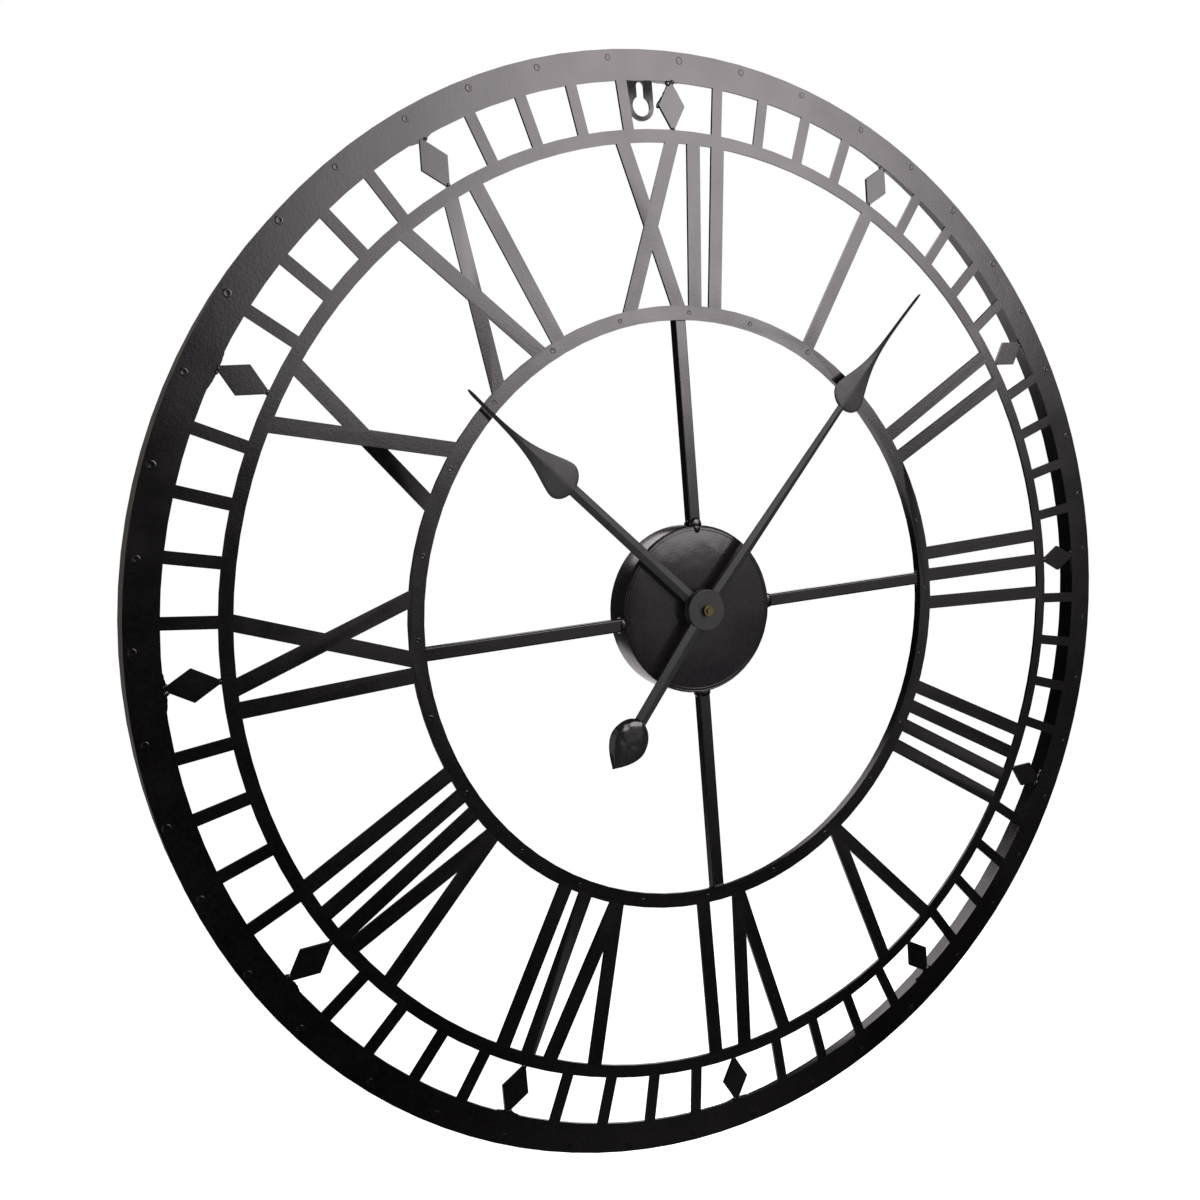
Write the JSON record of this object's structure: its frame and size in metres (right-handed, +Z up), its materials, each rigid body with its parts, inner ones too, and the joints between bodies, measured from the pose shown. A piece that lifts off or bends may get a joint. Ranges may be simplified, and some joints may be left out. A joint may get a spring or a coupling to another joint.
{
  "type": "wall clock",
  "caption": "Open-work round metal wall clock with Roman numerals, rim band, spoked hub, spade hands and a battery quartz movement behind the hub.",
  "frame": {"origin": "on the wall plane, at the middle of the hook's shank where the keyhole hanger rests on it", "axes": "X to the right of the dial seen from the front, Y into the wall, Z up; the dial faces -Y"},
  "size_m": [0.6, 0.0287, 0.6],
  "materials": {
    "black_paint": "semi-gloss black paint over steel, with fine orange peel",
    "hand_paint": "satin dark grey paint over aluminium",
    "brass": "bare turned brass",
    "case_plastic": "moulded black ABS, fine texture",
    "gear_plastic": "natural acetal",
    "bright_steel": "bare plated steel",
    "cell_sleeve": "plain printed sleeve, no text",
    "board": "green solder mask",
    "copper_wire": "enamelled copper winding",
    "rubber": "soft black rubber"
  },
  "bodies": {
    "frame": {"dial_plate": "black_paint", "hour_marker_1": "black_paint", "hour_marker_2": "black_paint", "hour_marker_3": "black_paint", "hour_marker_4": "black_paint", "hour_marker_5": "black_paint", "hour_marker_6": "black_paint", "hour_marker_7": "black_paint", "hour_marker_8": "black_paint", "hour_marker_9": "black_paint", "hour_marker_10": "black_paint", "hour_marker_11": "black_paint", "hour_marker_12": "black_paint", "rim_band": "black_paint", "inner_band": "black_paint", "spoke_top": "black_paint", "spoke_right": "black_paint", "spoke_bottom": "black_paint", "spoke_left": "black_paint", "hub_cup": "black_paint", "hanger": "black_paint", "movement_case": "case_plastic", "movement_lid": "case_plastic", "battery": "cell_sleeve", "contact_positive": "bright_steel", "contact_negative": "bright_steel", "circuit_board": "board", "quartz_crystal": "bright_steel", "stator": "bright_steel", "coil": "copper_wire", "gasket": "rubber", "washer": "brass", "mounting_nut": "brass"},
    "minute_body": {"minute_hand": "hand_paint", "hand_nut": "brass", "centre_wheel": "brass"},
    "hour_body": {"hour_hand": "hand_paint", "hour_wheel": "gear_plastic"},
    "minute_works_body": {"minute_works_wheel": "gear_plastic"},
    "third_body": {"third_wheel": "gear_plastic"},
    "seconds_body": {"seconds_wheel": "gear_plastic"},
    "step_body": {"step_wheel": "gear_plastic"},
    "rotor_body": {"rotor": "bright_steel"},
    "knob_body": {"setting_knob": "case_plastic"}
  },
  "joints": [
    {"name": "minute_turn", "type": "hinge", "parent": "frame", "child": "minute_body", "pos_m": [0.006, -0.0115, -0.2868], "axis": [0, 1, 0], "continuous": true},
    {"name": "hour_turn", "type": "hinge", "parent": "frame", "child": "hour_body", "pos_m": [0.006, -0.0115, -0.2868], "axis": [0, 1, 0], "continuous": true},
    {"name": "minute_works_turn", "type": "hinge", "parent": "frame", "child": "minute_works_body", "pos_m": [0.01639, -0.0115, -0.2808], "axis": [0, 1, 0], "continuous": true},
    {"name": "third_turn", "type": "hinge", "parent": "frame", "child": "third_body", "pos_m": [-0.0046, -0.0115, -0.28068], "axis": [0, 1, 0], "continuous": true},
    {"name": "seconds_turn", "type": "hinge", "parent": "frame", "child": "seconds_body", "pos_m": [0.006, -0.0115, -0.2868], "axis": [0, 1, 0], "continuous": true},
    {"name": "step_turn", "type": "hinge", "parent": "frame", "child": "step_body", "pos_m": [0.006, -0.0115, -0.2748], "axis": [0, 1, 0], "continuous": true},
    {"name": "rotor_turn", "type": "hinge", "parent": "frame", "child": "rotor_body", "pos_m": [0.0146, -0.0115, -0.26878], "axis": [0, 1, 0], "continuous": true},
    {"name": "knob_turn", "type": "hinge", "parent": "frame", "child": "knob_body", "pos_m": [0.02798, -0.0115, -0.28391], "axis": [0, 1, 0], "continuous": true}
  ],
  "couplings": [
    {"joint": "hour_turn", "follows": "minute_turn", "ratio": 0.083333},
    {"joint": "minute_works_turn", "follows": "minute_turn", "ratio": -0.33333},
    {"joint": "third_turn", "follows": "minute_turn", "ratio": -7.5},
    {"joint": "seconds_turn", "follows": "minute_turn", "ratio": 60},
    {"joint": "step_turn", "follows": "minute_turn", "ratio": -300},
    {"joint": "rotor_turn", "follows": "minute_turn", "ratio": 1800},
    {"joint": "knob_turn", "follows": "minute_turn", "ratio": 1}
  ]
}
